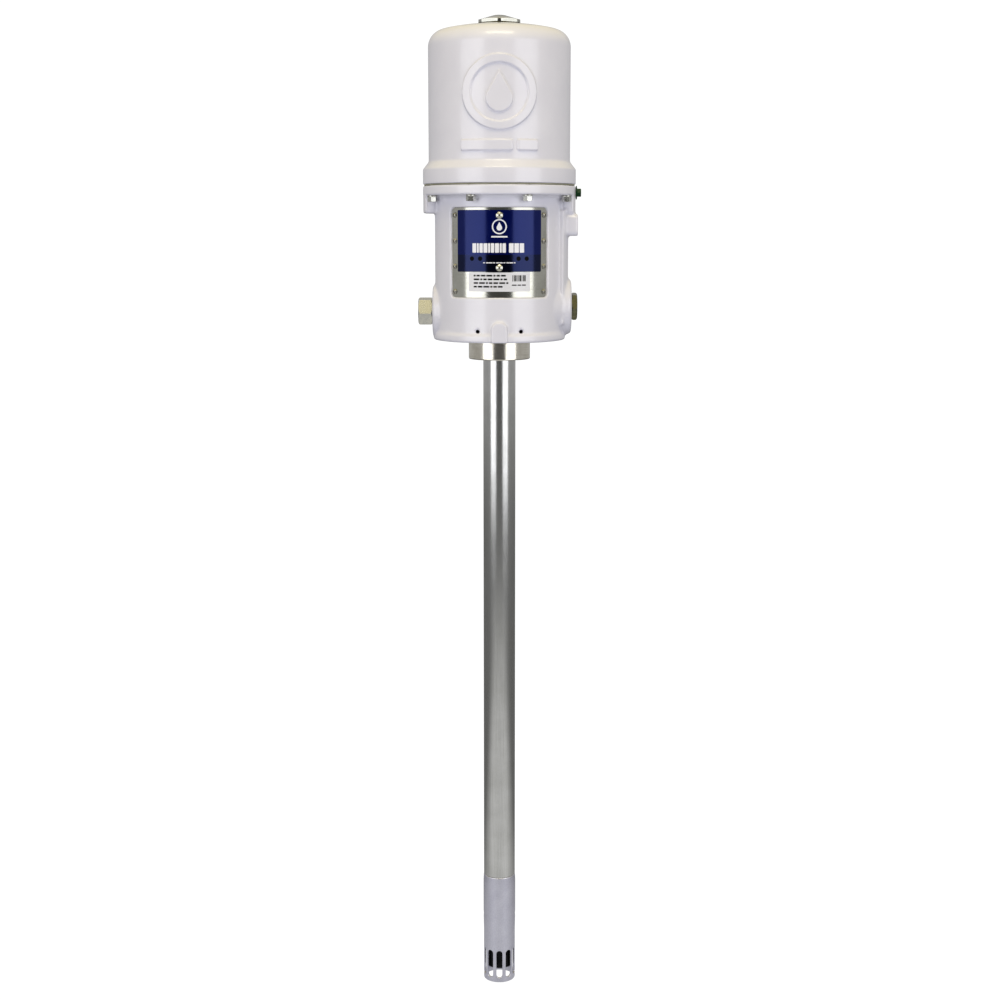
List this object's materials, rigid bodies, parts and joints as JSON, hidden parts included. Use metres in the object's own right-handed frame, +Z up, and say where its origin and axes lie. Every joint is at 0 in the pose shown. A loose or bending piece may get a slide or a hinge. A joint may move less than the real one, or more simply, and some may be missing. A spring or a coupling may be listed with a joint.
{
  "type": "drum barrel pump",
  "caption": "Air-powered drum barrel pump: a domed piston air motor on a round cast base, over a long steel riser tube that ends in a slotted foot valve.",
  "frame": {"origin": "on the pump axis, at the underside of the motor base, where a bung adapter holds the tube at the drum's lid", "axes": "+Z up along the pump axis, from the foot valve to the cap nut; -Y is the front, with the badge; +X is the side with the air inlet, -X the fluid outlet"},
  "size_m": [0.2068, 0.1932, 1.27],
  "materials": {
    "white_paint": "smooth glossy off-white enamel on a casting",
    "black_rubber": "black seal rubber",
    "machined_aluminium": "machined cast aluminium",
    "zinc_plated_steel": "zinc plated steel, faintly yellow",
    "brass_alloy": "turned brass",
    "bare_steel": "turned bare steel",
    "dark_steel": "dark oiled steel",
    "tube_steel": "drawn steel tube, lengthwise grain",
    "foot_steel": "plated steel, satin",
    "stainless_sheet": "brushed stainless sheet",
    "blue_badge": "printed blue metal badge",
    "white_label": "printed white sticker",
    "muffler_foam": "open felt pad",
    "seal_plastic": "hard seal plastic",
    "chromed_rod": "hard chrome, ground",
    "green_coating": "dark green coated screw"
  },
  "bodies": {
    "root": {"air_cylinder_cover": "white_paint", "badge_screw_bottom": "stainless_sheet", "badge_screw_top": "stainless_sheet", "ball_stop_pin": "bare_steel", "cap_nut": "zinc_plated_steel", "cap_nut_washer": "brass_alloy", "cover_gasket": "black_rubber", "cover_screw_1": "zinc_plated_steel", "cover_screw_2": "zinc_plated_steel", "cover_screw_3": "zinc_plated_steel", "cover_screw_4": "zinc_plated_steel", "cover_screw_5": "zinc_plated_steel", "cover_screw_6": "zinc_plated_steel", "cover_screw_7": "zinc_plated_steel", "cover_screw_8": "zinc_plated_steel", "cylinder_lower_plate": "machined_aluminium", "exhaust_muffler": "muffler_foam", "foot_valve_housing": "foot_steel", "front_plate": "stainless_sheet", "ground_screw": "green_coating", "intake_seat": "dark_steel", "motor_base": "white_paint", "name_badge": "blue_badge", "outlet_adapter": "zinc_plated_steel", "plate_screw_1": "zinc_plated_steel", "plate_screw_2": "zinc_plated_steel", "plate_screw_3": "zinc_plated_steel", "plate_screw_4": "zinc_plated_steel", "plate_screw_5": "zinc_plated_steel", "plate_screw_6": "zinc_plated_steel", "plate_screw_7": "zinc_plated_steel", "plate_screw_8": "zinc_plated_steel", "port_plug": "dark_steel", "power_cylinder": "machined_aluminium", "rear_plate": "stainless_sheet", "rear_plate_screw_1": "zinc_plated_steel", "rear_plate_screw_2": "zinc_plated_steel", "rear_plate_screw_3": "zinc_plated_steel", "rear_plate_screw_4": "zinc_plated_steel", "riser_collar": "bare_steel", "riser_tube": "tube_steel", "seal_retainer": "bare_steel", "spec_label": "white_label", "throat_bearing": "brass_alloy", "throat_seal": "seal_plastic", "trip_rod": "bare_steel", "tube_o_ring": "black_rubber"},
    "piston_assembly": {"motor_piston": "machined_aluminium", "motor_piston_seal": "black_rubber", "piston_rod": "chromed_rod", "connecting_rod": "bare_steel", "pump_piston": "bare_steel", "pump_piston_seal": "seal_plastic"},
    "air_valve": {"valve_actuator": "bare_steel", "valve_poppet_left": "black_rubber", "valve_poppet_right": "black_rubber"},
    "front_toggle": {"toggle_front": "bare_steel"},
    "back_toggle": {"toggle_back": "bare_steel"},
    "discharge_ball": {"piston_ball": "chromed_rod"},
    "foot_ball": {"intake_ball": "chromed_rod"}
  },
  "joints": [
    {"name": "pump_stroke", "type": "slide", "parent": "root", "child": "piston_assembly", "axis": [0, 0, 1], "range_m": [0, 0.102]},
    {"name": "air_valve_shift", "type": "slide", "parent": "piston_assembly", "child": "air_valve", "axis": [0, 0, 1], "range_m": [0, 0.006]},
    {"name": "front_toggle_swing", "type": "hinge", "parent": "piston_assembly", "child": "front_toggle", "pos_m": [0, -0.032, 0.2465], "axis": [1, 0, 0], "range_deg": [0, 18.93]},
    {"name": "back_toggle_swing", "type": "hinge", "parent": "piston_assembly", "child": "back_toggle", "pos_m": [0, 0.032, 0.2465], "axis": [-1, 0, 0], "range_deg": [0, 18.93]},
    {"name": "discharge_ball_lift", "type": "slide", "parent": "piston_assembly", "child": "discharge_ball", "axis": [0, 0, 1], "range_m": [0, 0.008]},
    {"name": "intake_ball_lift", "type": "slide", "parent": "root", "child": "foot_ball", "axis": [0, 0, 1], "range_m": [0, 0.005]}
  ],
  "couplings": [
    {"joint": "front_toggle_swing", "follows": "air_valve_shift", "rad_per_m": 55.03},
    {"joint": "back_toggle_swing", "follows": "air_valve_shift", "rad_per_m": 55.03}
  ]
}
